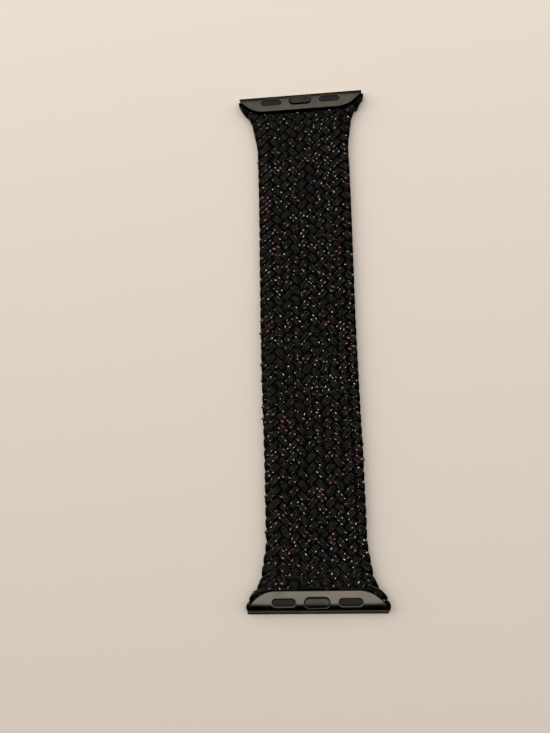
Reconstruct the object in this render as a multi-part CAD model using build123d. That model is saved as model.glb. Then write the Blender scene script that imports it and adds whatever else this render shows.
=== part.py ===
from build123d import *
import os

# Braided elastic watch strap: one flat stretch braid with a metal lug at each end.
# The strap lies relaxed on its outer side, so the side that touches the wrist is up.
# Frame: +Z up, X across the strap, +Y towards the upper lug. The origin is under the
# middle of the strap, on the surface that it lies on. Lengths are in millimetres.

# Whole strap
overall_length = 100.0          # nose to nose, relaxed
strap_width = 18.0              # the plain run of the braid

# Braid
braid_thickness = 2.3
braid_overhang = 0.25           # yarn beyond each tip of the lug, where the braid is widest
braid_layer = 0.66              # yarn above and below the row of elastic threads
braid_side_wall = 0.7           # yarn beside the row of elastic threads
braid_edge_bevel = 0.55         # stands for the round edge of the yarns
flare_length = 9.4              # run over which the braid widens to the lug
flare_tip_length = 2.6          # last stretch of it, where the edge curves back straight

# Elastic threads, square-cut silicone, one in each lane of the braid
thread_size = 0.4
thread_spacing = 0.825          # half of one column of the braid
thread_bite = 2.0               # how far each thread runs into an anchor
thread_play = 0.05

# Lug, the metal end that slides into the watch case
lug_length = 24.5
lug_thickness = 2.6
lug_nose_depth = 2.2            # how far back the rounded nose reaches
lug_nose_height = 0.45          # of the foremost line of the nose
lug_hull_depth = 4.2            # nose to the back edge, in the middle
lug_bow_run = 5.05              # from each tip to the straight stretch of the back edge
lug_tip_depth = 0.85            # nose to the back edge, at the two tips
lug_corner_radius = 0.25
lug_back_bevel = 0.12
lug_bare_strip = 0.7            # metal left bare on the outer side
lug_shelf_height = 0.8          # underside of the hull, above the braid's lower layer
braid_gap = 0.1                 # between the braid and the lug

# Row of three ovals on the wrist side
oval_spacing = 5.8
rim_bevel = 0.1                 # round the mouth of each oval pocket
oval_depth = 2.2                # nose to the middle of the row

# Latch button and its stepped pocket
button_length = 4.2
button_width = 1.5
button_height = 0.22            # how far it stands above the lug at rest
button_edge_bevel = 0.1
button_flange_reach = 0.53      # the flange stands out at the button's two ends
button_flange_thickness = 0.3
button_play = 0.08
button_stop_gap = 0.03
pocket_roof = 0.55              # metal left above the flange

# Keeper plate that closes the pocket from below
keeper_thickness = 0.28
keeper_ledge_length = 0.3       # seat beyond the pocket's ends
keeper_ledge_width = 0.085      # seat beyond the pocket's sides
keeper_play = 0.02
keeper_stud_width = 0.3
keeper_stud_height = 0.2

# Latch springs, two to each button
spring_diameter = 0.8
spring_wire = 0.12
spring_turns = 2.5
spring_offset = 1.15            # from the middle of the button
spring_play = 0.08
spring_end_gap = 0.02
spring_well_depth = 0.62        # blind well in the button's underside

# Friction pads, one on each side of the button
pad_length = 3.97
pad_width = 1.17
pad_recess = 0.1                # its face below the lug's
pad_pocket_depth = 0.7
pad_play = 0.03
pad_edge_bevel = 0.06

# Anchor moulded into the braid's end, with two ears that enter the lug
anchor_depth = 9.0              # nose to the anchor's far edge
anchor_play = 0.06
anchor_corner_radius = 0.6
ear_inner_place = 3.7           # from the middle of the lug to the ear
ear_length = 4.4
ear_socket_depth = 1.45         # nose to the bottom of the ear's socket
ear_socket_floor = 0.25         # metal left under the ear

# Anchor pins, one through each ear
pin_diameter = 0.6
pin_length = 1.2
pin_depth = 3.25                # nose to the pin
pin_play = 0.02

overrun = 1.0                   # how far every cut runs past its faces

# Places worked out from the sizes above
nose_y = overall_length / 2
braid_end_width = lug_length + 2 * braid_overhang
lug_hull_flat = lug_length - 2 * lug_bow_run
tunnel_low = braid_layer
tunnel_high = braid_thickness - braid_layer
tunnel_middle = (tunnel_low + tunnel_high) / 2
pocket_length = button_length + 2 * (button_flange_reach + button_play)
pocket_width = button_width + 2 * button_play
pocket_ceiling = lug_thickness - pocket_roof
flange_top = pocket_ceiling - button_stop_gap
flange_low = flange_top - button_flange_thickness
keeper_top = lug_shelf_height + keeper_thickness
recess_top = keeper_top + keeper_play
recess_length = pocket_length + 2 * keeper_ledge_length
recess_width = pocket_width + 2 * keeper_ledge_width
spring_low = keeper_top + spring_end_gap
spring_high = flange_low + spring_well_depth - spring_end_gap
pad_floor = lug_thickness - pad_pocket_depth
socket_low = lug_shelf_height + ear_socket_floor
ear_middle = ear_inner_place + ear_length / 2


def stadium(length, width):
    """Oval with straight sides and half-round ends, its length along X."""
    return SlotOverall(length, width)


def raised(outline, low, high):
    """Solid over an outline, from one height to another."""
    return extrude(Pos(0, 0, low) * outline, high - low)


def at_depth(depth, x=0):
    """Place at a depth behind the upper lug's nose."""
    return Pos(x, nose_y - depth, 0)


def lug_outline(gap=0):
    """Plan of the lug: a straight nose and a boat-shaped back edge."""
    half_length = lug_length / 2 + gap
    tip_y = nose_y - lug_tip_depth
    back_y = nose_y - lug_hull_depth - gap
    flat_end = lug_hull_flat / 2
    back = Line((-flat_end, back_y), (flat_end, back_y))
    right_bow = TangentArc((flat_end, back_y), (half_length, tip_y), tangent=(1, 0))
    left_bow = mirror(right_bow, about=Plane.YZ)
    front = Polyline((half_length, tip_y), (half_length, nose_y), (-half_length, nose_y), (-half_length, tip_y))
    return make_face([back, right_bow, left_bow] + front.edges())


def braid_outline(inset=0):
    """Plan of the braid: straight edges that sweep out to the lugs in two arcs each."""
    start_x = strap_width / 2 - inset
    end_x = braid_end_width / 2 - inset
    end_y = nose_y - lug_bare_strip - braid_gap
    start_y = end_y - flare_length
    join_y = end_y - flare_tip_length
    join_x = start_x + (end_x - start_x) * (join_y - start_y) / flare_length
    neck = TangentArc((start_x, start_y), (join_x, join_y), tangent=(0, 1))
    tip = TangentArc((end_x, end_y), (join_x, join_y), tangent=(0, -1))
    corner = [neck, tip, Line((end_x, end_y), (0, end_y)), Line((start_x, 0), (start_x, start_y))]
    right = corner + [mirror(edge, about=Plane.XZ) for edge in corner]
    return make_face(right + [mirror(edge, about=Plane.YZ) for edge in right])


def both_ends(piece):
    """A piece at the upper end and the same piece turned round to the lower end."""
    return {"upper": piece, "lower": Rot(0, 0, 180) * piece}


def make_braid():
    """Soft braid: bevelled side edges, a tunnel for the threads and room for both lugs."""
    braid = raised(braid_outline(), 0, braid_thickness)
    rims = braid.faces().filter_by(Axis.Z).edges()
    long_rims = rims.filter_by(lambda edge: abs(edge.center().X) > strap_width / 2 - braid_edge_bevel)
    braid = chamfer(long_rims, braid_edge_bevel)
    braid -= raised(braid_outline(braid_side_wall), tunnel_low, tunnel_high)
    lug_room = raised(lug_outline(braid_gap), braid_layer, braid_thickness + overrun)
    for room in both_ends(lug_room).values():
        braid -= room
    return braid


def thread_places():
    """Places across the strap of the elastic threads, one in each lane of the tunnel."""
    row_width = strap_width - 2 * (braid_side_wall + thread_size)
    count = int(row_width / thread_spacing)
    first_x = -(count - 1) * thread_spacing / 2
    return [first_x + i * thread_spacing for i in range(count)]


def make_threads():
    """Row of lengthwise elastic threads inside the braid."""
    length = overall_length - 2 * (anchor_depth - thread_bite)
    return [Pos(x, 0, tunnel_middle) * Box(thread_size, length, thread_size) for x in thread_places()]


def bar_section():
    """Section of the lug: flat faces, a wide arc down to the nose and a small one under it."""
    top = (nose_y - lug_nose_depth, lug_thickness)
    tip = (nose_y, lug_nose_height)
    foot = (nose_y - lug_nose_height, 0)
    back_y = nose_y - lug_hull_depth - overrun
    upper_arc = TangentArc(top, tip, tangent=(1, 0))
    lower_arc = TangentArc(tip, foot, tangent=(0, -1))
    flats = Polyline(foot, (back_y, 0), (back_y, lug_thickness), top)
    return make_face([upper_arc, lower_arc] + flats.edges())


def lug_bar(lift=0):
    """Long bar with the lug's section, lifted or lowered by some height."""
    return Pos(0, 0, lift) * extrude(Plane.YZ * bar_section(), lug_length / 2, both=True)


def lug_blank():
    """Lug without its pockets: round-nosed bar, boat-shaped hull and the shelf below."""
    shelf_y = nose_y - lug_bare_strip - lug_hull_depth
    shelf = Pos(0, shelf_y, 0) * Box(2 * lug_length, 2 * lug_hull_depth, 2 * lug_shelf_height)
    plan = lug_outline()
    plan = fillet(plan.vertices().group_by(Axis.Y)[-1], lug_corner_radius)
    hull = raised(plan, 0, lug_thickness)
    rim = hull.faces().sort_by(Axis.Z)[-1].edges()
    back_rim = rim.filter_by(lambda edge: edge.center().Y < nose_y - lug_tip_depth)
    return (lug_bar() - shelf) & chamfer(back_rim, lug_back_bevel)


def cut_oval(lug, length, width, low, side=0):
    """Cuts an oval pocket from the lug's face down to some height and bevels its mouth."""
    oval = raised(stadium(length, width), low, lug_thickness + overrun)
    pocket = at_depth(oval_depth, side * oval_spacing) * oval
    cut = lug - pocket
    mouth = new_edges(lug, pocket, combined=cut).filter_by(lambda edge: edge.center().Z > pocket_ceiling)
    return chamfer(mouth, rim_bevel)


def latch_room():
    """Room under the button: the keeper's recess and the wider pocket for the button's flange."""
    room = raised(stadium(recess_length, recess_width), 0, recess_top)
    room += raised(stadium(pocket_length, pocket_width), 0, pocket_ceiling)
    return at_depth(oval_depth) * room


def ear_socket(side):
    """Socket in the lug's back edge that takes one ear of the anchor."""
    run = lug_hull_depth - ear_socket_depth + overrun
    outline = at_depth(ear_socket_depth + run / 2, side * ear_middle) * Rectangle(ear_length, run)
    return raised(outline, socket_low, tunnel_high)


def pin_at(side, play=0):
    """Vertical anchor pin, or its hole when some play is given."""
    radius = pin_diameter / 2 + play
    pin = Cylinder(radius, pin_length, align=(Align.CENTER, Align.CENTER, Align.MIN))
    return Pos(0, 0, lug_shelf_height) * at_depth(pin_depth, side * ear_middle) * pin


def make_lug():
    """Lug with its three oval pockets, latch room, ear sockets and pin holes."""
    lug = cut_oval(lug_blank(), button_length + 2 * button_play, pocket_width, recess_top)
    for side in (-1, 1):
        lug = cut_oval(lug, pad_length + 2 * pad_play, pad_width + 2 * pad_play, pad_floor, side)
        lug -= ear_socket(side)
        lug -= pin_at(side, pin_play)
    return lug - latch_room()


def curved_top(outline, low, lift, bevel):
    """Upright piece over an outline, its bevelled top parallel to the lug's rounded face."""
    prism = raised(outline, low, lug_thickness + overrun)
    bar = lug_bar(lift)
    piece = prism & bar
    return chamfer(new_edges(prism, bar, combined=piece), bevel)


def make_button():
    """Latch button: a raised oval on a flange, with one blind well for both springs."""
    outline = at_depth(oval_depth) * stadium(button_length, button_width)
    button = curved_top(outline, flange_low, button_height, button_edge_bevel)
    flange_length = button_length + 2 * button_flange_reach
    button += at_depth(oval_depth) * raised(stadium(flange_length, button_width), flange_low, flange_top)
    well_width = spring_diameter + 2 * spring_play
    well = stadium(2 * spring_offset + well_width, well_width)
    return button - at_depth(oval_depth) * raised(well, flange_low - overrun, flange_low + spring_well_depth)


def make_keeper():
    """Keeper plate with a square stud inside each spring."""
    plate_length = recess_length - 2 * keeper_play
    plate_width = recess_width - 2 * keeper_play
    keeper = raised(stadium(plate_length, plate_width), lug_shelf_height, keeper_top)
    for side in (-1, 1):
        stud = Pos(side * spring_offset, 0) * Rectangle(keeper_stud_width, keeper_stud_width)
        keeper += raised(stud, lug_shelf_height, keeper_top + keeper_stud_height)
    return at_depth(oval_depth) * keeper


def make_spring(side):
    """Flat-wire coil spring between the keeper and the bottom of the button's well."""
    coil_radius = (spring_diameter - spring_wire) / 2
    height = spring_high - spring_low - spring_wire
    path = Helix(height / spring_turns, height, coil_radius)
    start = Plane(origin=path @ 0, x_dir=(1, 0, 0), z_dir=path % 0)
    coil = sweep(start * Rectangle(spring_wire, spring_wire), path=path, is_frenet=True)
    return at_depth(oval_depth, side * spring_offset) * Pos(0, 0, spring_low + spring_wire / 2) * coil


def make_pad(side):
    """Friction pad, a little below the lug's face and curved with it."""
    outline = at_depth(oval_depth, side * oval_spacing) * stadium(pad_length, pad_width)
    return curved_top(outline, pad_floor + pad_play, -pad_recess, pad_edge_bevel)


def make_anchor():
    """Moulded anchor inside the braid's end: it grips the threads and enters the lug."""
    low = tunnel_low + anchor_play
    high = tunnel_high - anchor_play
    plan = braid_outline(braid_side_wall + anchor_play)
    plan &= at_depth(anchor_depth / 2) * Rectangle(2 * lug_length, anchor_depth)
    plan = fillet(plan.vertices().group_by(Axis.Y)[0], anchor_corner_radius)
    anchor = raised(plan - lug_outline(braid_gap + anchor_play), low, high)
    ear_run = lug_hull_depth + braid_gap + overrun - ear_socket_depth - anchor_play
    ear_width = ear_length - 2 * anchor_play
    for side in (-1, 1):
        ear_place = at_depth(ear_socket_depth + anchor_play + ear_run / 2, side * ear_middle)
        anchor += raised(ear_place * Rectangle(ear_width, ear_run), socket_low + anchor_play, high)
        anchor -= pin_at(side, pin_play)
    hole_size = thread_size + 2 * thread_play
    hole = Pos(0, 0, tunnel_middle) * Box(hole_size, 2 * (thread_bite + thread_play), hole_size)
    for x in thread_places():
        anchor -= at_depth(anchor_depth, x) * hole
    return anchor


def make_nodes():
    """Every piece of the strap under its own name."""
    end_pieces = {
        "lug_body": make_lug(),
        "latch_button": make_button(),
        "latch_keeper": make_keeper(),
        "latch_spring_left": make_spring(-1),
        "latch_spring_right": make_spring(1),
        "left_pad": make_pad(-1),
        "right_pad": make_pad(1),
        "strap_anchor": make_anchor(),
        "anchor_pins": Compound(children=[pin_at(-1), pin_at(1)]),
    }
    nodes = {
        "braid_sleeve": make_braid(),
        "elastic_threads": Compound(children=make_threads()),
    }
    for name, piece in end_pieces.items():
        for end, placed in both_ends(piece).items():
            nodes[end + "_" + name] = placed
    return nodes


os.makedirs("parts", exist_ok=True)
for node_name, node in make_nodes().items():
    export_step(node, "parts/" + node_name + ".step")
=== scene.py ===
import functools
import math
import random

import bmesh
import bpy
import numpy as np
from mathutils import Matrix, Vector
from mathutils.bvhtree import BVHTree


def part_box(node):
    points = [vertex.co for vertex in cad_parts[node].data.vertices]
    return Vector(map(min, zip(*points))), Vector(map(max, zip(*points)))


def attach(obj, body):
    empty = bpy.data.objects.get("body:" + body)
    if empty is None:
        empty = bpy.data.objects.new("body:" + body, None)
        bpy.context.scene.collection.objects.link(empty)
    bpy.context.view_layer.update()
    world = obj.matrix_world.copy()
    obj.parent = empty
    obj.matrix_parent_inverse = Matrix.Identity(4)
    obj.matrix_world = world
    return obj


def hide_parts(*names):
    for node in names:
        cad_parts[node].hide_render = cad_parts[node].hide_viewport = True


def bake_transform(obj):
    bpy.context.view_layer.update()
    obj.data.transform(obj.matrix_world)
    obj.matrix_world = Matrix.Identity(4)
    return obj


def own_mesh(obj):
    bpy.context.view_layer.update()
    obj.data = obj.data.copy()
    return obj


# Braided elastic watch strap, relaxed, wrist side up. Blender works in metres, and the
# sizes below are millimetres unless they say otherwise: mm turns them to metres where a
# piece is made.
mm = 0.001

# Camera of the photo
camera_place = (4.26, -28.14, 119.07)
camera_aim = (-6.54, -5.62, 0.0)
camera_roll = -1.39             # degrees
image_height = 733              # pixels
focal_length = 642.9            # pixels
sensor_side = 36.0
nearest_view = 10               # from the camera, before which it sees nothing

# Light of the room: how bright it is by its lean from straight up, in degrees, towards the
# far side (+) or the near side (-), where whoever looks at the strap stands in the way
room_levels = ((-34, 0.0), (-6, 1.0), (10, 1.0), (28, 0.4), (64, 0.36), (72, 0.1))
room_strength = 2.3
room_colour = "#fff8f0"
backdrop_colour = "#e4dacd"
window_power = 5                # watts
window_side = 1.2               # metres
window_place = (-0.95, 0.6, 0.9)
floor_side = 3                  # metres
floor_drop = 0.02               # below the strap, so that the two share no plane
floor_colour = "#dad4cd"
floor_painted_shade_share = 0.77        # painted shade: of the paper's near side against its far side
floor_shade_reach = 80          # either way, over which it darkens

# Braid
strap_width = 18
column_step = 0.825             # half of one herringbone column, across the strap
row_step = 1.015                # half of one herringbone row, along the strap
edge_columns = 10               # half columns from the middle to the edge
yarn_count = 20
yarn_height = 0.8
ply_pitch = 0.38                # three plies side by side show as ridges along a yarn
ply_half_width = 0.215
side_ply_share = 0.9            # height of the outer plies against the middle one
groove_shade_share = 0.05             # of the way round a yarn, the painted shade to each side of a groove
ply_points = 4                  # of the outline, to each half ply
yarn_samples = 4                # to each half column
yarn_spacing_in_pattern = 197.3 # of its own pattern that each yarn gets
yarn_end_margin = 0.05          # by which yarns end inside the CAD braid
wave_height = 0.7               # of a yarn's middle, above and below the braid's middle
wave_flatness = 2.2             # the higher, the more level a yarn lies on top
dive_height = 0.55              # from the braid's middle, where a yarn is in the others' shade
crown_height = 1.0              # and where it is clear of it
wander = 0.05                   # how far a yarn strays from its even place
wander_waves = ((0.83, 2.4), (1.37, 5.1))  # radians along a half row, and from yarn to yarn
turn_rounding = 0.55            # half columns
pinch_share = 0.86              # a yarn's size where it dives
edge_bulge_share = 0.2          # by which the outermost turns reach further out
edge_bulge_power = 8
edge_fullness_share = 0.24      # by which a yarn is fuller where it turns back at the edge
edge_fullness_power = 6
edge_start = 8.45               # from the middle, where the edge is pressed straight
edge_softness = 0.6             # over which it is pressed
sway = 0.2                      # of the relaxed strap off its straight line, in two bows
sway_reach = 58                 # in which both bows lie
tail_height = 0.62              # the braid pressed flat under the lug
dive_length = 0.3               # in which it goes down to that at the hull
yarn_merge = 0.0001             # between corners that are one

# Flecks of bright contrast thread, wrapped round each yarn
# the pale rose fleck is a painted highlight on the dark red sheath under it
fleck_colours = {"silver": "#f4f4ee", "rose": "#dbb0b7", "green": "#b4cf92", "rose_sheath": "#320c17"}
fleck_seed = 12
fleck_pitch = 0.87              # along the yarn, from one to the next on the same edge
fleck_lead = 0.55               # of the right-hand flecks ahead of the left-hand ones
fleck_edge_place = 0.4          # from the yarn's middle
fleck_end_margin = 0.3          # free of flecks at each end of the braid
fleck_length = 0.34
fleck_width = 0.15
sheath_length = 1.15            # dark red, the red thread under a rose fleck, which is its painted highlight
sheath_width = 0.62
sheath_height = 0.2
rose_size_share = 0.85          # of a rose fleck, a painted highlight, against the others
fleck_least_share = 0.7         # of its length and width in the smallest fleck
fleck_most_share = 1.2          # and in the largest
fleck_turn_scatter = 0.8        # radians
fleck_scatter_share = 0.22      # of a fleck's pitch and place
fleck_share = 0.43              # of the places where one shows
fleck_run_share = 0.5           # how much one run of a yarn differs from another in its flecks
fleck_edge_share = 0.45         # how many more flecks show at the braid's edge than in its middle
fleck_wave_share = 0.45         # a yarn shows flecks where it is this far up or down
look_ahead = 0.05               # half columns, to find which way a yarn runs
colour_run = 2.6                # of yarn in one fleck colour
rose_share = 0.31
green_share = 0.07

# Elastic threads
thread_width = 0.38
thread_sides = 8

# Rims of the oval pockets
oval_spacing = 5.8
oval_depth = 2.2                # nose to the middle of the row
button_pocket_length = 4.36
button_pocket_width = 1.66
pad_pocket_length = 4.03
pad_pocket_width = 1.23
rim_inset = 0.07                # from the pocket's wall, past its bevel
rim_width = 0.15
rim_height = 0.035
rim_steps = 40                  # round the pocket
rim_arc_steps = 8               # round the rim itself
rim_merge_share = 0.01          # of the rim's height, between corners that are one
rim_search_height = 1           # above the lug, from where its face is looked for

# Latch springs
coil_wire = 0.12
coil_turns = 2.5
coil_steps = 24                 # to each turn
coil_sides = 8

# Lug plan, as the metal part has it, and the braid's flare in it
hull_flat = 14.4                # straight stretch of the back edge
tip_depth = 0.85                # nose to back edge at the lug's tips
bare_strip = 0.8                # nose to the end of the braid
flare_length = 9.4              # over which the braid widens
flare_tip_length = 2.6          # of that, where it bows the other way
tip_spread = 0.12               # of the yarns beyond the CAD braid at the lug's tips
neck_swell = 0.42               # the braid is a little fuller where it starts to spread
neck_place = 8.6                # nose to the middle of that swell
neck_reach = 4.0                # and how far it goes either way

# Patterns of the finishes: how wide a patch, cloud or grain of each is, and how deep
tint_run = 6                    # of yarn in one tint, which is two to three floats
filament_count = 17             # that show round a yarn
filament_length = 5 / 6         # that shows before another one lies on top
filament_depth = 0.04
painted_glint_run = 10 / 9              # of contrast thread painted bright, as a glint, and then dark again
silicone_cloud = 2
nylon_cloud = 1.25
nylon_grain = 0.1
nylon_grain_depth = 0.01
rubber_grain = 0.125
rubber_grain_depth = 0.02
dust_patch = 2 / 3
smudge = 4.5                    # of fingers on the polished coating
satin_patch = 2.6
rolling_haze = 0.9
ground_haze = 0.4
drawn_haze = 0.3
metal_grains = 4                # across each patch of a metal
metal_grain_depth = 0.01


def linear(hex_colour):
    """sRGB hex colour as the linear values that the shaders take."""
    parts = [int(hex_colour[i:i + 2], 16) / 255 for i in (1, 3, 5)]
    return [p / 12.92 if p <= 0.04045 else ((p + 0.055) / 1.055) ** 2.4 for p in parts] + [1]


def shades(*stops):
    """Colour stops for a ramp, each from a place and a hex colour."""
    return [(place, linear(colour)) for place, colour in stops]


def add_node(tree, kind, inputs=None, stops=(), **settings):
    """Adds a node with its settings and colour stops, its sockets filled by value or by link."""
    node = tree.nodes.new(kind)
    for name, value in settings.items():
        setattr(node, name, value)
    for place, colour in stops:
        node.color_ramp.elements.new(place).color = colour
    if stops:
        # a new ramp has two stops of its own, which are now the first and the last
        node.color_ramp.elements.remove(node.color_ramp.elements[0])
        node.color_ramp.elements.remove(node.color_ramp.elements[-1])
    for socket, value in (inputs or {}).items():
        if isinstance(value, bpy.types.NodeSocket):
            tree.links.new(value, node.inputs[socket])
        else:
            node.inputs[socket].default_value = value
    return node


def start_material(name):
    """Empty node material and its tree."""
    material = bpy.data.materials.new(name)
    material.use_nodes = True
    material.node_tree.nodes.clear()
    return material, material.node_tree


@functools.cache
def cad_box(name):
    """Lowest and highest corner of a CAD piece in millimetres, looked up once."""
    return [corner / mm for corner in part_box(name)]


def add_object(name, data):
    """Puts an object with some data into the scene."""
    piece = bpy.data.objects.new(name, data)
    bpy.context.scene.collection.objects.link(piece)
    return piece


def mesh_from(bm, name, material):
    """Smooth mesh of one material from a finished bmesh, which it frees."""
    mesh = bpy.data.meshes.new(name)
    bm.to_mesh(mesh)
    bm.free()
    mesh.shade_smooth()
    mesh.materials.append(material)
    return mesh


def place_camera():
    """Camera where the photo was taken from, with the same angle of view."""
    place = Vector(camera_place) * mm
    back = (place - Vector(camera_aim) * mm).normalized()
    level = Vector((0, 1, 0)).cross(back).normalized()
    right = Matrix.Rotation(math.radians(camera_roll), 3, back) @ level
    turn = Matrix((right, back.cross(right), back)).transposed()
    data = bpy.data.cameras.new("photo_camera")
    data.sensor_width = sensor_side
    data.lens = sensor_side * focal_length / image_height
    data.clip_start = nearest_view * mm
    camera = add_object("photo_camera", data)
    camera.matrix_world = Matrix.Translation(place) @ turn.to_4x4()
    bpy.context.scene.camera = camera
    bpy.context.scene.view_settings.view_transform = "Standard"


def make_floor():
    """Pale paper on a table."""
    bm = bmesh.new()
    lie = Matrix.Translation((0, 0, -floor_drop * mm))
    bmesh.ops.create_grid(bm, x_segments=1, y_segments=1, size=floor_side / 2, matrix=lie)
    add_object("floor", mesh_from(bm, "floor", paper_material()))


def paper_material():
    """Uncoated white paper: matt and even, with painted shade that makes it a little darker towards the
    near side.
    """
    material, tree = start_material("floor_paper")
    spot = add_node(tree, "ShaderNodeTexCoord").outputs["Object"]
    parts = add_node(tree, "ShaderNodeSeparateXYZ", {"Vector": spot})
    # painted shade: the colour falls off towards the near side, where less light reaches
    shade = add_node(tree, "ShaderNodeMapRange", {
        "Value": parts.outputs["Y"], "From Min": -floor_shade_reach * mm,
        "From Max": floor_shade_reach * mm, "To Min": floor_painted_shade_share, "To Max": 1.0})
    colour = add_node(tree, "ShaderNodeVectorMath", {
        0: linear(floor_colour)[:3], "Scale": shade.outputs[0]}, operation="SCALE")
    shader = add_node(tree, "ShaderNodeBsdfPrincipled", {"Base Color": colour.outputs[0], "Roughness": 0.9})
    add_node(tree, "ShaderNodeOutputMaterial", {"Surface": shader.outputs[0]})
    return material


def make_window():
    """A window that lights the strap from the far left."""
    data = bpy.data.lights.new("window", "AREA")
    data.size = window_side
    data.energy = window_power
    data.color = linear(room_colour)[:3]
    window = add_object("window", data)
    window.location = window_place
    window.rotation_euler = (-Vector(window_place)).to_track_quat("-Z", "Y").to_euler()


def make_room():
    """Light from the room's walls and ceiling, by direction, before a plain pale backdrop."""
    world = bpy.data.worlds.new("room")
    world.use_nodes = True
    tree = world.node_tree
    tree.nodes.clear()
    direction = add_node(tree, "ShaderNodeTexCoord").outputs["Generated"]
    parts = add_node(tree, "ShaderNodeSeparateXYZ", {"Vector": direction})
    lean = add_node(tree, "ShaderNodeMath", {
        0: parts.outputs["Y"], 1: parts.outputs["Z"]}, operation="ARCTAN2")
    place = add_node(tree, "ShaderNodeMapRange", {
        "Value": lean.outputs[0], "From Min": -math.pi / 2, "From Max": math.pi / 2})
    warm = linear(room_colour)[:3]
    levels = add_node(tree, "ShaderNodeValToRGB", {"Fac": place.outputs[0]}, stops=[
        (0.5 + degrees / 180, [part * level for part in warm] + [1]) for degrees, level in room_levels])
    light = add_node(tree, "ShaderNodeBackground", {"Color": levels.outputs[0], "Strength": room_strength})
    backdrop = add_node(tree, "ShaderNodeBackground", {"Color": linear(backdrop_colour), "Strength": 1.0})
    seen = add_node(tree, "ShaderNodeLightPath").outputs["Is Camera Ray"]
    shown = add_node(tree, "ShaderNodeMixShader", {0: seen, 1: light.outputs[0], 2: backdrop.outputs[0]})
    add_node(tree, "ShaderNodeOutputWorld", {"Surface": shown.outputs[0]})
    bpy.context.scene.world = world


def bow(place, run, rise):
    """How far an arc that starts level has risen at a place along its run."""
    radius = (run ** 2 + rise ** 2) / (2 * rise)
    return radius - np.sqrt(radius ** 2 - np.clip(place, 0, run) ** 2)


def braid_half_width(y):
    """Half the braid's width at a place along the strap, all in millimetres."""
    nose = cad_box("upper_lug_body")[1].y
    end_half = cad_box("braid_sleeve")[1].x + tip_spread
    end_y = nose - bare_strip
    start_half = strap_width / 2
    start_y = end_y - flare_length
    join_y = end_y - flare_tip_length
    join_half = start_half + (end_half - start_half) * (join_y - start_y) / flare_length
    y = np.abs(y)
    neck = start_half + bow(y - start_y, join_y - start_y, join_half - start_half)
    tip = end_half - bow(end_y - y, flare_tip_length, end_half - join_half)
    from_swell = np.clip(np.abs(nose - neck_place - y) / neck_reach, 0, 1)
    return np.where(y < join_y, neck, tip) + neck_swell / 2 * (1 + np.cos(math.pi * from_swell))


def hull_depth(x):
    """Depth of the lug's back edge behind its nose, in millimetres."""
    low, high = cad_box("upper_lug_body")
    depth = high.y - low.y
    bow_run = (high.x - low.x - hull_flat) / 2
    return depth - bow(np.abs(x) - hull_flat / 2, bow_run, depth - tip_depth)


def yarn_state(step):
    """Column and height wave of a yarn, by steps along it."""
    lap = np.mod(step, 4 * edge_columns)
    rising = lap < 2 * edge_columns
    column = np.where(rising, lap - edge_columns, 3 * edge_columns - lap)
    to_turn = np.mod(lap + edge_columns, 2 * edge_columns) - edge_columns
    wave = np.cos(math.pi * (column + 0.5) / 2) * np.where(rising, 1, -1)
    near = np.abs(to_turn) < 1
    wave = np.where(near, math.sin(math.pi / 4) * np.sin(math.pi * to_turn / 2), wave)
    rounded = np.sqrt(to_turn ** 2 + turn_rounding ** 2) - np.abs(to_turn)
    column = column - np.sign(column) * np.where(np.abs(to_turn) < edge_columns / 2, rounded, 0)
    return column, wave


def ply_outline(ply, turn):
    """A place on one ply's outline, by the angle round it, in millimetres."""
    height = yarn_height / 2 * (side_ply_share if ply else 1)
    return ply * ply_pitch + ply_half_width * math.cos(turn), height * math.sin(turn)


def profile_height(across):
    """Height of a yarn's surface over its middle plane, at a place across it, in millimetres."""
    heights = []
    for ply in (-1, 0, 1):
        share = (across - ply * ply_pitch) / ply_half_width
        if abs(share) < 1:
            heights.append(ply_outline(ply, math.acos(share))[1])
    return max(heights)


def yarn_profile():
    """Closed outline of one yarn: three plies that lie side by side."""
    meet = math.acos(ply_pitch / 2 / ply_half_width)
    quarter = (math.pi / 2 - meet) / (ply_points / 2)
    outer = (math.pi - meet) / ply_points
    outline = [ply_outline(1, outer * i) for i in range(-ply_points, ply_points + 1)]
    outline += [ply_outline(0, meet + quarter * i) for i in range(1, ply_points)]
    outline += [ply_outline(-1, meet + outer * i) for i in range(2 * ply_points + 1)]
    outline += [ply_outline(0, math.pi + meet + quarter * i) for i in range(1, ply_points)]
    curve = bpy.data.curves.new("yarn_profile", "CURVE")
    spline = curve.splines.new("POLY")
    spline.points.add(len(outline) - 1)
    for point, (across, up) in zip(spline.points, outline):
        point.co = (across * mm, up * mm, 0, 1)
    spline.use_cyclic_u = True
    return add_object("yarn_profile", curve)


def yarn_run(number):
    """Places of one yarn's middle line in the plain run, with the height wave."""
    last = (cad_box("braid_sleeve")[1].y - yarn_end_margin) / row_step
    return yarn_places(np.linspace(-last, last, int(2 * last * yarn_samples) + 1), number)


def yarn_places(steps, number):
    """Places of a yarn's middle line at the given steps along the strap, with the height wave."""
    column, wave = yarn_state(steps + 2 * number)
    flat = np.tanh(wave_flatness * wave) / math.tanh(wave_flatness)
    x = column * column_step
    x = x * (1 + edge_bulge_share * (np.abs(x) / (edge_columns * column_step)) ** edge_bulge_power)
    for pace, shift in wander_waves:
        x = x + wander / len(wander_waves) * np.sin(steps * pace + number * shift)
    middle = cad_box("braid_sleeve")[1].z / 2
    return np.stack((x, steps * row_step, middle + wave_height * flat), axis=1), flat


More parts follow.
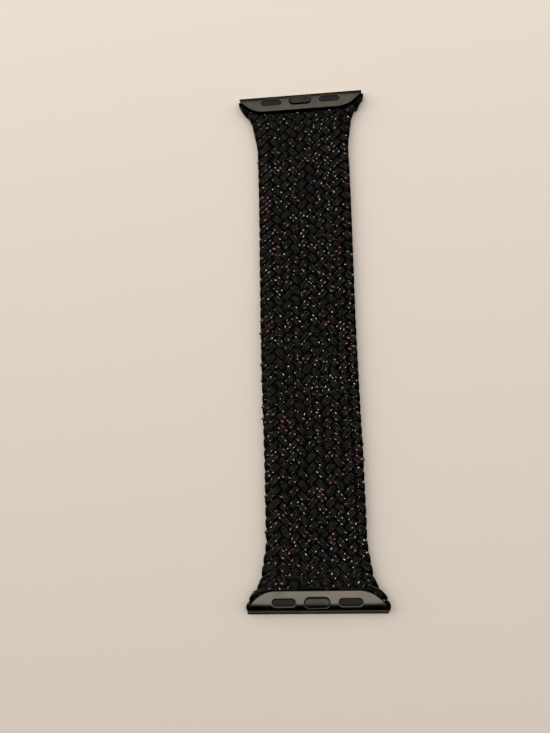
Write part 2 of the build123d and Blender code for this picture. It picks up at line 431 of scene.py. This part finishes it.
def make_yarn(number, profile):
    """One yarn as a mesh, with a UV map that runs round it and in millimetres along it."""
    curve = bpy.data.curves.new("yarn_route", "CURVE")
    curve.dimensions = "3D"
    curve.twist_mode = "Z_UP"
    curve.bevel_mode = "OBJECT"
    curve.bevel_object = profile
    curve.use_fill_caps = True
    places, wave = yarn_run(number)
    spline = curve.splines.new("POLY")
    spline.points.add(len(places) - 1)
    outward = np.abs(places[:, 0])
    fullness = edge_fullness_share * (outward / outward.max()) ** edge_fullness_power
    sizes = pinch_share + (1 - pinch_share) * np.abs(wave) + fullness
    for point, place, size in zip(spline.points, places, sizes):
        point.co = (*(place * mm), 1)
        point.radius = size
    route = add_object("yarn_route", curve)
    bpy.context.view_layer.update()
    mesh = bpy.data.meshes.new_from_object(route.evaluated_get(bpy.context.evaluated_depsgraph_get()))
    bpy.data.objects.remove(route)
    length = np.linalg.norm(np.diff(places, axis=0), axis=1).sum()
    pattern = np.zeros(len(mesh.loops) * 2, np.float32)
    mesh.uv_layers[0].data.foreach_get("uv", pattern)
    pattern = pattern.reshape(-1, 2)[:, ::-1] * (1, length) + (0, number * yarn_spacing_in_pattern)
    mesh.uv_layers[0].data.foreach_set("uv", pattern.astype(np.float32).reshape(-1))
    return mesh


def make_yarns(name, numbers, profile, material):
    """Some of the braid's yarns as one mesh, fitted to the strap's ends."""
    bm = bmesh.new()
    for number in numbers:
        yarn = make_yarn(number, profile)
        bm.from_mesh(yarn)
        bpy.data.meshes.remove(yarn)
    bmesh.ops.remove_doubles(bm, verts=bm.verts, dist=yarn_merge * mm)
    mesh = mesh_from(bm, name, material)
    fit_to_ends(mesh)
    return mesh


def fit_places(places):
    """Straightens the braid's edges, spreads it in the flare and presses it down under the lugs."""
    fitted = places.copy()
    x = places[:, 0]
    over = np.clip(np.abs(x) - edge_start, 0, None)
    side = np.minimum(np.abs(x), edge_start) + edge_softness * np.tanh(over / edge_softness)
    fitted[:, 0] = np.sign(x) * side * braid_half_width(places[:, 1]) / (strap_width / 2)
    fitted[:, 0] += sway * np.sin(math.pi * places[:, 1] / sway_reach) ** 2
    depth = cad_box("upper_lug_body")[1].y - np.abs(fitted[:, 1])
    inside = np.clip((hull_depth(fitted[:, 0]) + dive_length - depth) / dive_length, 0, 1)
    height = cad_box("braid_sleeve")[1].z
    # a smooth step down from the braid's height to the tail's
    fitted[:, 2] *= 1 + (tail_height / height - 1) * inside * inside * (3 - 2 * inside)
    return fitted


def fit_to_ends(mesh):
    """Fits the corners of a mesh of the plain run to the strap's ends."""
    places = np.zeros(len(mesh.vertices) * 3, np.float32)
    mesh.vertices.foreach_get("co", places)
    places = fit_places(places.reshape(-1, 3) / mm)
    mesh.vertices.foreach_set("co", (places * mm).astype(np.float32).reshape(-1))
    mesh.update()


def make_braid():
    """The herringbone braid, as all its yarns in three pieces."""
    profile = yarn_profile()
    material = yarn_material()
    groups = ("braid_yarns_first", "braid_yarns_second", "braid_yarns_third")
    for i, name in enumerate(groups):
        piece = add_object(name, make_yarns(name, range(i, yarn_count, len(groups)), profile, material))
        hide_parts("braid_sleeve")
        stretch(piece)
    bpy.data.objects.remove(profile)


def make_threads():
    """Glossy elastic threads inside the braid, one in each lane."""
    low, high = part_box("elastic_threads")
    middle = (low.z + high.z) / 2
    radius = thread_width / 2 * mm
    half_row = (high.x - low.x) / 2 - radius
    lanes = 2 * edge_columns - 1
    bm = bmesh.new()
    for i in range(lanes):
        x = half_row * (2 * i / (lanes - 1) - 1)
        lie_along = Matrix.Translation((x, 0, middle)) @ Matrix.Rotation(math.pi / 2, 4, "X")
        bmesh.ops.create_cone(bm, cap_ends=True, segments=thread_sides, radius1=radius, radius2=radius,
                              depth=high.y - low.y, matrix=lie_along)
    piece = add_object("elastic_thread_row", mesh_from(bm, "elastic_thread_row", silicone_material()))
    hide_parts("elastic_threads")
    stretch(piece)


def make_rims(frame, finish):
    """A fine turned-up rim round each oval pocket, which draws its outline in light."""
    for end, body, way in (("upper", "strap", 1), ("lower", "lower_end", -1)):
        lug = frame["nodes"][f"{end}_lug_body"]
        face = BVHTree.FromPolygons([lug.matrix_world @ corner.co for corner in lug.data.vertices],
                                    [side.vertices for side in lug.data.polygons])
        low, high = cad_box(f"{end}_lug_body")
        nose = high.y if way > 0 else low.y
        bm = bmesh.new()
        for side in (-1, 0, 1):
            middle = Vector((side * oval_spacing, nose - way * oval_depth, high.z + rim_search_height))
            length = pad_pocket_length if side else button_pocket_length
            width = pad_pocket_width if side else button_pocket_width
            add_rim(bm, face, middle, length, width)
        bmesh.ops.recalc_face_normals(bm, faces=bm.faces)
        piece = add_object(f"{end}_pocket_rims", mesh_from(bm, "rims", finish))
        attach(piece, body)


def add_rim(bm, face, middle, length, width):
    """One rim: a grid rolled into a flat tube and laid on the lug's face round the pocket."""
    corners = bmesh.ops.create_grid(bm, x_segments=rim_steps, y_segments=rim_arc_steps, size=1)["verts"]
    for corner in corners:
        turn = math.pi * (corner.co.x + 1 / rim_steps)
        roll = math.pi * corner.co.y
        out = Vector((math.cos(turn), math.sin(turn), 0))
        away = width / 2 + rim_inset + rim_width * (1 + math.cos(roll)) / 2
        spot = middle + Vector((math.copysign((length - width) / 2, out.x), 0, 0)) + out * away
        place, normal = face.ray_cast(spot * mm, (0, 0, -1))[:2]
        corner.co = place + normal * rim_height * math.sin(roll) * mm
    bmesh.ops.remove_doubles(bm, verts=corners, dist=rim_merge_share * rim_height * mm)


def make_coils():
    """Coil springs of round wire under both buttons."""
    # hard-drawn stainless wire: bright, with fine haze
    finish = metal_material("drawn_spring_wire", ((0.35, "#b0aea9"), (0.65, "#c4c1bb")),
                            roughness=(0.16, 0.3), patch=drawn_haze, grain_strength=0.2)
    for end, body in (("upper", "strap"), ("lower", "lower_end")):
        for side in ("left", "right"):
            node = f"{end}_latch_spring_{side}"
            low, high = cad_box(node)
            piece = add_object(f"{end}_coil_{side}", coil_mesh(low, high, finish))
            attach(piece, body)
            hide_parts(node)
            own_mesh(piece)


def coil_mesh(low, high, finish):
    """One coil between two corners, as a disc of wire turned and raised step by step."""
    middle = (low + high) / 2
    start = Vector((high.x - coil_wire / 2, middle.y, low.z + coil_wire / 2))
    rise = high.z - low.z - coil_wire
    steps = int(coil_turns * coil_steps)
    bm = bmesh.new()
    bmesh.ops.create_circle(bm, cap_ends=True, segments=coil_sides, radius=coil_wire / 2 * mm,
                            matrix=Matrix.Translation(start * mm) @ Matrix.Rotation(math.pi / 2, 4, "X"))
    bmesh.ops.spin(bm, geom=bm.verts[:] + bm.edges[:] + bm.faces[:], cent=middle * mm, axis=(0, 0, 1),
                   dvec=(0, 0, rise / steps * mm), angle=2 * math.pi * coil_turns, steps=steps)
    bmesh.ops.recalc_face_normals(bm, faces=bm.faces)
    return mesh_from(bm, "coil", finish)


def scatter(chance, share):
    """A factor that differs from one by up to half a share either way."""
    return 1 + (chance.random() - 0.5) * share


def fleck_colour(kind):
    """Colour of a run of flecks, by a number between zero and one."""
    if kind < rose_share:
        return "rose"
    if kind < rose_share + green_share:
        return "green"
    return "silver"


def showing_share(spot, strength):
    """Share of the flecks that show at a spot on a yarn, in a run of some strength."""
    from_middle = abs(spot[0]) / (strap_width / 2)
    share = fleck_share * (1 + fleck_run_share * (strength - 0.5))
    return share * (1 + fleck_edge_share * (from_middle - 0.5))


def fleck_spot(spots, wave, edge, chance):
    """Place and turn of one fleck, from a spot on its yarn, the next spot and the height wave."""
    heading = spots[1] - spots[0]
    heading[2] = 0
    heading = heading / np.linalg.norm(heading)
    across = edge * fleck_edge_place * scatter(chance, fleck_scatter_share)
    place = spots[0] + np.array((heading[1], -heading[0], 0)) * across
    place[2] += profile_height(across) * math.copysign(1, wave)
    return place, math.atan2(heading[1], heading[0])


def fleck_places(number, chance):
    """Colour, place, turn and luck of each fleck on one yarn, on both sides of the braid."""
    last = (cad_box("braid_sleeve")[1].y - fleck_end_margin) / row_step
    step_length = math.hypot(column_step, row_step)
    phase = chance.random() * fleck_pitch
    runs = {}
    found = []
    for edge in (-1, 1):
        along = -last * step_length + phase + (fleck_lead if edge > 0 else 0)
        while along < last * step_length:
            step = along / step_length
            along += fleck_pitch * scatter(chance, fleck_scatter_share)
            run = int((step + last) * step_length / colour_run)
            if run not in runs:
                runs[run] = (chance.random(), chance.random())
            kind, strength = runs[run]
            spots, waves = yarn_places(np.array((step, step + look_ahead)), number)
            if chance.random() > showing_share(spots[0], strength) or abs(waves[0]) < fleck_wave_share:
                continue
            place, turn = fleck_spot(spots, waves[0], edge, chance)
            found.append((fleck_colour(kind), place, turn, chance.random()))
    return found


def add_fleck(bm, place, turn, length, width, height):
    """One small spindle that lies along the yarn."""
    lie = Matrix.Translation(Vector(place) * mm) @ Matrix.Rotation(turn, 4, "Z")
    size = Matrix.Diagonal((length / 2 * mm, width / 2 * mm, height / 2 * mm, 1))
    bmesh.ops.create_icosphere(bm, subdivisions=1, radius=1, matrix=lie @ size)


def add_flecks(batch, found):
    """One yarn's flecks, the rose ones each a painted highlight on its dark red sheath."""
    middle = cad_box("braid_sleeve")[1].z / 2
    places = fit_places(np.array([fleck[1] for fleck in found]))
    for (colour, _, turn, luck), place in zip(found, places):
        turn += (luck - 0.5) * fleck_turn_scatter
        size = fleck_least_share + (fleck_most_share - fleck_least_share) * luck
        # a red thread: its dark red sheath, with the pale rose fleck on top as its painted highlight
        if colour == "rose":
            add_fleck(batch["rose_sheath"], place, turn, sheath_length * size, sheath_width * size,
                      sheath_height)
            place = place + (0, 0, math.copysign(sheath_height / 2, place[2] - middle))
            size *= rose_size_share
        add_fleck(batch[colour], place, turn, fleck_length * size, fleck_width * size, fleck_width)


def make_flecks():
    """Bright flecks of contrast thread on the yarns' edges, in runs of one colour."""
    chance = random.Random(fleck_seed)
    groups = {colour: bmesh.new() for colour in fleck_colours}
    for number in range(yarn_count):
        batch = {colour: bmesh.new() for colour in fleck_colours}
        add_flecks(batch, fleck_places(number, chance))
        for colour, bm in groups.items():
            move_into(bm, batch[colour])
    for colour, bm in groups.items():
        name = "flecks_" + colour
        piece = add_object(name, mesh_from(bm, name, fleck_material(colour)))
        stretch(piece)


def move_into(bm, batch):
    """Adds a small bmesh to a large one and frees it."""
    mesh = bpy.data.meshes.new("batch")
    batch.to_mesh(mesh)
    batch.free()
    bm.from_mesh(mesh)
    bpy.data.meshes.remove(mesh)


def stretch(piece):
    """Bakes a soft piece's placement into its mesh."""
    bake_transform(piece)


def yarn_tint_and_groove_shade(tree, pattern):
    """Colour of a yarn: one faint tint for a few floats, and painted shade in the grooves between its
    plies.
    """
    parts = add_node(tree, "ShaderNodeSeparateXYZ", {"Vector": pattern})
    along = add_node(tree, "ShaderNodeMath", {
        0: parts.outputs["Y"], 1: 1 / tint_run}, operation="MULTIPLY")
    runs = add_node(tree, "ShaderNodeTexNoise", {
        "W": along.outputs[0], "Scale": 1.0, "Detail": 1.0}, noise_dimensions="1D")
    tint = add_node(tree, "ShaderNodeValToRGB", {"Fac": runs.outputs[0]}, stops=shades(
        (0.34, "#131610"), (0.42, "#17160f"), (0.5, "#141517"), (0.58, "#161711"), (0.68, "#1b1510")))
    # painted shade: the colour darkens to each side of the grooves between the plies
    grooves = (0, 1 / 3, 1 / 2, 5 / 6, 1)
    stops = [(place, "#202020") for place in grooves]
    stops += [(place + groove_shade_share, "#ffffff") for place in grooves[:-1]]
    stops += [(place - groove_shade_share, "#ffffff") for place in grooves[1:]]
    depth = add_node(tree, "ShaderNodeValToRGB", {
        "Fac": parts.outputs["X"]}, stops=shades(*sorted(stops)))
    tone = add_node(tree, "ShaderNodeVectorMath", {
        0: tint.outputs[0], 1: depth.outputs[0]}, operation="MULTIPLY")
    return tone.outputs[0]


def yarn_light(tree):
    """How much light a yarn gets: little where it dives into the shade of the others."""
    spot = add_node(tree, "ShaderNodeTexCoord").outputs["Object"]
    parts = add_node(tree, "ShaderNodeSeparateXYZ", {"Vector": spot})
    middle = cad_box("braid_sleeve")[1].z / 2
    rise = add_node(tree, "ShaderNodeMath", {0: parts.outputs["Z"], 1: -middle * mm}, operation="ADD")
    height = add_node(tree, "ShaderNodeMath", {0: rise.outputs[0]}, operation="ABSOLUTE")
    light = add_node(tree, "ShaderNodeMapRange", {
        "Value": height.outputs[0], "From Min": dive_height * mm, "From Max": crown_height * mm,
        "To Min": 0.1, "To Max": 1.0})
    return light.outputs[0]


def yarn_material():
    """Solution-dyed black polyester multifilament: dull black, faintly tinted from yarn to yarn."""
    material, tree = start_material("black_polyester_yarn")
    pattern = add_node(tree, "ShaderNodeTexCoord").outputs["UV"]
    # filaments are 0.02 mm thick; drawn at about 0.2 mm, which is as fine as the render can show
    drawn_out = add_node(tree, "ShaderNodeMapping", {
        "Vector": pattern, "Scale": (filament_count, 1 / filament_length, 1)})
    filaments = add_node(tree, "ShaderNodeTexNoise", {
        "Vector": drawn_out.outputs[0], "Scale": 1.0, "Detail": 2.0}, noise_dimensions="2D")
    bump = add_node(tree, "ShaderNodeBump", {
        "Height": filaments.outputs[0], "Strength": 0.7, "Distance": filament_depth * mm})
    shade = add_node(tree, "ShaderNodeMapRange", {
        "Value": filaments.outputs[0], "From Min": 0.4, "From Max": 0.62, "To Min": 0.0, "To Max": 2.7})
    share = add_node(tree, "ShaderNodeMath", {0: shade.outputs[0], 1: yarn_light(tree)},
                     operation="MULTIPLY")
    colour = add_node(tree, "ShaderNodeVectorMath", {
        0: yarn_tint_and_groove_shade(tree, pattern), "Scale": share.outputs[0]}, operation="SCALE")
    shader = add_node(tree, "ShaderNodeBsdfPrincipled", {
        "Base Color": colour.outputs[0], "Roughness": 0.5, "Specular IOR Level": 0.05,
        "Normal": bump.outputs[0]})
    add_node(tree, "ShaderNodeOutputMaterial", {"Surface": shader.outputs[0]})
    return material


def fleck_material(colour):
    """Bright trilobal contrast thread, whose colour is raised and lowered from run to run as a painted
    glint.
    """
    material, tree = start_material("trilobal_thread_" + colour)
    spot = add_node(tree, "ShaderNodeTexCoord").outputs["Object"]
    # painted glint: the colour is brighter in some runs of thread and darker in others
    change = add_node(tree, "ShaderNodeTexNoise", {
        "Vector": spot, "Scale": 1 / (painted_glint_run * mm), "Detail": 0.0})
    shade = add_node(tree, "ShaderNodeMapRange", {
        "Value": change.outputs[0], "From Min": 0.37, "From Max": 0.58, "To Min": 0.12, "To Max": 1.0})
    base = add_node(tree, "ShaderNodeVectorMath", {
        0: linear(fleck_colours[colour])[:3], "Scale": shade.outputs[0]}, operation="SCALE")
    shader = add_node(tree, "ShaderNodeBsdfPrincipled", {"Base Color": base.outputs[0], "Roughness": 0.35})
    add_node(tree, "ShaderNodeOutputMaterial", {"Surface": shader.outputs[0]})
    return material


def silicone_material():
    """Extruded silicone rubber thread: smooth and a little milky, with painted shade that makes its colour
    near black where the yarns round it keep the light off.
    """
    material, tree = start_material("extruded_silicone_rubber")
    spot = add_node(tree, "ShaderNodeTexCoord").outputs["Object"]
    cloud = add_node(tree, "ShaderNodeTexNoise", {
        "Vector": spot, "Scale": 1 / (silicone_cloud * mm), "Detail": 1.0})
    # painted shade: the colour is near black for the shade of the yarns round it
    colour = add_node(tree, "ShaderNodeValToRGB", {"Fac": cloud.outputs[0]}, stops=shades(
        (0.35, "#1c1b19"), (0.65, "#272623")))
    shader = add_node(tree, "ShaderNodeBsdfPrincipled", {
        "Base Color": colour.outputs[0], "Roughness": 0.4, "IOR": 1.41})
    add_node(tree, "ShaderNodeOutputMaterial", {"Surface": shader.outputs[0]})
    return material


def metal_material(name, stops, roughness, patch, grain_strength):
    """Metal whose sheen and tone change a little from patch to patch."""
    material, tree = start_material(name)
    spot = add_node(tree, "ShaderNodeTexCoord").outputs["Object"]
    patches = add_node(tree, "ShaderNodeTexNoise", {
        "Vector": spot, "Scale": 1 / (patch * mm), "Detail": 1.5})
    tone = add_node(tree, "ShaderNodeValToRGB", {"Fac": patches.outputs[0]}, stops=shades(*stops))
    grain = add_node(tree, "ShaderNodeTexNoise", {
        "Vector": spot, "Scale": metal_grains / (patch * mm), "Detail": 2.0})
    haze = add_node(tree, "ShaderNodeMapRange", {
        "Value": grain.outputs[0], "From Min": 0.3, "From Max": 0.7, "To Min": roughness[0],
        "To Max": roughness[1]})
    bump = add_node(tree, "ShaderNodeBump", {
        "Height": grain.outputs[0], "Strength": grain_strength, "Distance": metal_grain_depth * mm})
    shader = add_node(tree, "ShaderNodeBsdfPrincipled", {
        "Base Color": tone.outputs[0], "Metallic": 1.0, "Roughness": haze.outputs[0],
        "Normal": bump.outputs[0], "Specular Tint": linear("#6d6862")})
    add_node(tree, "ShaderNodeOutputMaterial", {"Surface": shader.outputs[0]})
    return material


def nylon_material():
    """Injection-moulded black nylon: dark and satin, with the cloudy sheen of its glass filling."""
    material, tree = start_material("moulded_black_nylon")
    spot = add_node(tree, "ShaderNodeTexCoord").outputs["Object"]
    cloud = add_node(tree, "ShaderNodeTexNoise", {
        "Vector": spot, "Scale": 1 / (nylon_cloud * mm), "Detail": 3.0})
    colour = add_node(tree, "ShaderNodeValToRGB", {"Fac": cloud.outputs[0]}, stops=shades(
        (0.35, "#121211"), (0.65, "#1b1a19")))
    sheen = add_node(tree, "ShaderNodeMapRange", {
        "Value": cloud.outputs[0], "From Min": 0.3, "From Max": 0.7, "To Min": 0.42, "To Max": 0.56})
    grain = add_node(tree, "ShaderNodeTexNoise", {
        "Vector": spot, "Scale": 1 / (nylon_grain * mm), "Detail": 2.0})
    bump = add_node(tree, "ShaderNodeBump", {
        "Height": grain.outputs[0], "Strength": 0.3, "Distance": nylon_grain_depth * mm})
    # the yarns round it keep most of the room's light off it
    shader = add_node(tree, "ShaderNodeBsdfPrincipled", {
        "Base Color": colour.outputs[0], "Roughness": sheen.outputs[0], "Specular IOR Level": 0.08,
        "Normal": bump.outputs[0]})
    add_node(tree, "ShaderNodeOutputMaterial", {"Surface": shader.outputs[0]})
    return material


def rubber_material():
    """Moulded nitrile rubber: matt, near black, with a fine sparked grain and some dust."""
    material, tree = start_material("moulded_nitrile_rubber")
    spot = add_node(tree, "ShaderNodeTexCoord").outputs["Object"]
    grain = add_node(tree, "ShaderNodeTexNoise", {
        "Vector": spot, "Scale": 1 / (rubber_grain * mm), "Detail": 2.0})
    bump = add_node(tree, "ShaderNodeBump", {
        "Height": grain.outputs[0], "Strength": 0.4, "Distance": rubber_grain_depth * mm})
    dust = add_node(tree, "ShaderNodeTexNoise", {
        "Vector": spot, "Scale": 1 / (dust_patch * mm), "Detail": 3.0})
    colour = add_node(tree, "ShaderNodeValToRGB", {"Fac": dust.outputs[0]}, stops=shades(
        (0.35, "#0c0b0b"), (0.6, "#12110f"), (0.75, "#1f1c19")))
    shader = add_node(tree, "ShaderNodeBsdfPrincipled", {
        "Base Color": colour.outputs[0], "Roughness": 0.5, "Specular IOR Level": 0.18,
        "Normal": bump.outputs[0]})
    add_node(tree, "ShaderNodeOutputMaterial", {"Surface": shader.outputs[0]})
    return material


def dress_parts(frame):
    """Gives every CAD piece that shows its finish, and returns the finishes."""
    # polished stainless steel under a thin near-black coating: a dark mirror, smudged by fingers
    coated = metal_material(
        "black_coated_polished_steel", ((0.32, "#4e504a"), (0.48, "#575550"), (0.68, "#5e5851")),
        roughness=(0.14, 0.26), patch=smudge, grain_strength=0.12)
    # the same steel blasted before it is coated: softer, even reflections
    satin = metal_material(
        "black_coated_blasted_steel", ((0.35, "#343431"), (0.65, "#3e3d39")),
        roughness=(0.18, 0.25), patch=satin_patch, grain_strength=0.12)
    # keepers stamped from stainless sheet: bright, with rolling haze
    stamped = metal_material(
        "stamped_stainless_sheet", ((0.35, "#a8a6a2"), (0.65, "#bdbab4")),
        roughness=(0.2, 0.34), patch=rolling_haze, grain_strength=0.2)
    # centreless-ground steel pins: bright, with fine haze round them
    ground = metal_material(
        "ground_steel_pin", ((0.35, "#b4b2ad"), (0.65, "#c6c3bd")),
        roughness=(0.16, 0.28), patch=ground_haze, grain_strength=0.15)
    finishes = {"lug_body": coated, "button": satin, "pad": rubber_material(), "keeper": stamped,
                "pins": ground, "strap_anchor": nylon_material()}
    for name, node in frame["nodes"].items():
        for ending, finish in finishes.items():
            if name.endswith(ending):
                node.data.materials.clear()
                node.data.materials.append(finish)
    return finishes


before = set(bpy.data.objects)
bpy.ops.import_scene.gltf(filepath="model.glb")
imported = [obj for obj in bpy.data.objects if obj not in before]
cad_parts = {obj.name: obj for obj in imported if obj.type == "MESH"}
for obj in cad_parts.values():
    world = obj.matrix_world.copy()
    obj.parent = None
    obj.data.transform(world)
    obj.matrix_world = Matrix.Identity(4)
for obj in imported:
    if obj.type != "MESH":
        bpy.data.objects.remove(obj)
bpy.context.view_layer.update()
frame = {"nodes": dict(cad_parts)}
place_camera()
make_floor()
make_window()
make_room()
finishes = dress_parts(frame)
make_rims(frame, finishes["lug_body"])
make_braid()
make_threads()
make_coils()
make_flecks()
